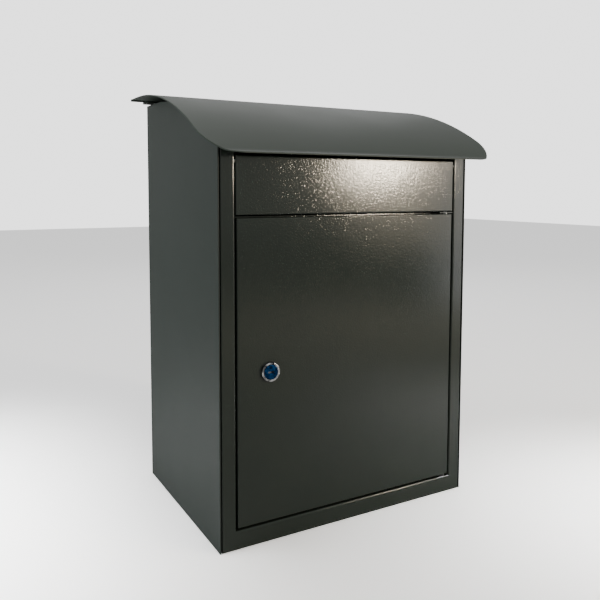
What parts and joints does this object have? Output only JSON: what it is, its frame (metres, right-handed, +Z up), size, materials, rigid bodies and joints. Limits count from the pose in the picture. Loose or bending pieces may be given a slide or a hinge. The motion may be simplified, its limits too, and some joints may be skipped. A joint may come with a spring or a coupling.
{
  "type": "wall mounted mailbox",
  "caption": "Wall mounted sheet steel mailbox with a curved hinged lid, a push-in letter flap and a door closed by a cam lock.",
  "frame": {"origin": "centre of the four wall holes, on the back face of the rear panel", "axes": "+X to the right seen from the front, +Y towards the wall, +Z up"},
  "size_m": [0.3868, 0.2819, 0.509],
  "materials": {
    "cabinet_paint": "dark grey green hammertone powder coat",
    "lid_paint": "grey green powder coat, finer and more matte than the box",
    "zinc_steel": "zinc plated",
    "lock_chrome": "polished chrome plate",
    "lock_blue": "clear gloss",
    "black_rubber": "matte",
    "nylon": "matte"
  },
  "bodies": {
    "cabinet": {"left_side_panel": "cabinet_paint", "right_side_panel": "cabinet_paint", "rear_panel": "cabinet_paint", "bottom_panel": "cabinet_paint", "front_frame": "cabinet_paint", "mid_rail": "cabinet_paint", "lower_stop_strip": "cabinet_paint", "upper_hinge_bracket": "cabinet_paint", "bracket_rivets": "zinc_steel", "hinge_washer": "nylon", "door_buffers": "black_rubber", "lid_buffers": "black_rubber", "lid_hinge_rod": "zinc_steel", "flap_hinge_rod": "zinc_steel"},
    "lid": {"roof_lid": "lid_paint"},
    "flap": {"letter_flap": "cabinet_paint"},
    "door": {"door_panel": "cabinet_paint", "upper_hinge_pin": "zinc_steel", "lower_hinge_pin": "zinc_steel", "lock_housing": "lock_chrome", "lock_nut": "zinc_steel"},
    "lock_core": {"lock_plug": "lock_chrome", "lock_face": "lock_blue", "lock_cam": "zinc_steel", "cam_washer": "zinc_steel", "cam_screw": "zinc_steel"}
  },
  "joints": [
    {"name": "lid_hinge", "type": "hinge", "parent": "cabinet", "child": "lid", "pos_m": [0, -0.00325, 0.25575], "axis": [-1, 0, 0], "range_deg": [0, 75]},
    {"name": "flap_hinge", "type": "hinge", "parent": "cabinet", "child": "flap", "pos_m": [0, -0.2386, 0.172], "axis": [1, 0, 0], "range_deg": [0, 60]},
    {"name": "door_hinge", "type": "hinge", "parent": "cabinet", "child": "door", "pos_m": [0.1418, -0.237, -0.057], "axis": [0, 0, 1], "range_deg": [0, 110]},
    {"name": "lock_turn", "type": "hinge", "parent": "door", "child": "lock_core", "pos_m": [-0.11, -0.242, -0.057], "axis": [0, 1, 0], "range_deg": [0, 90]}
  ]
}
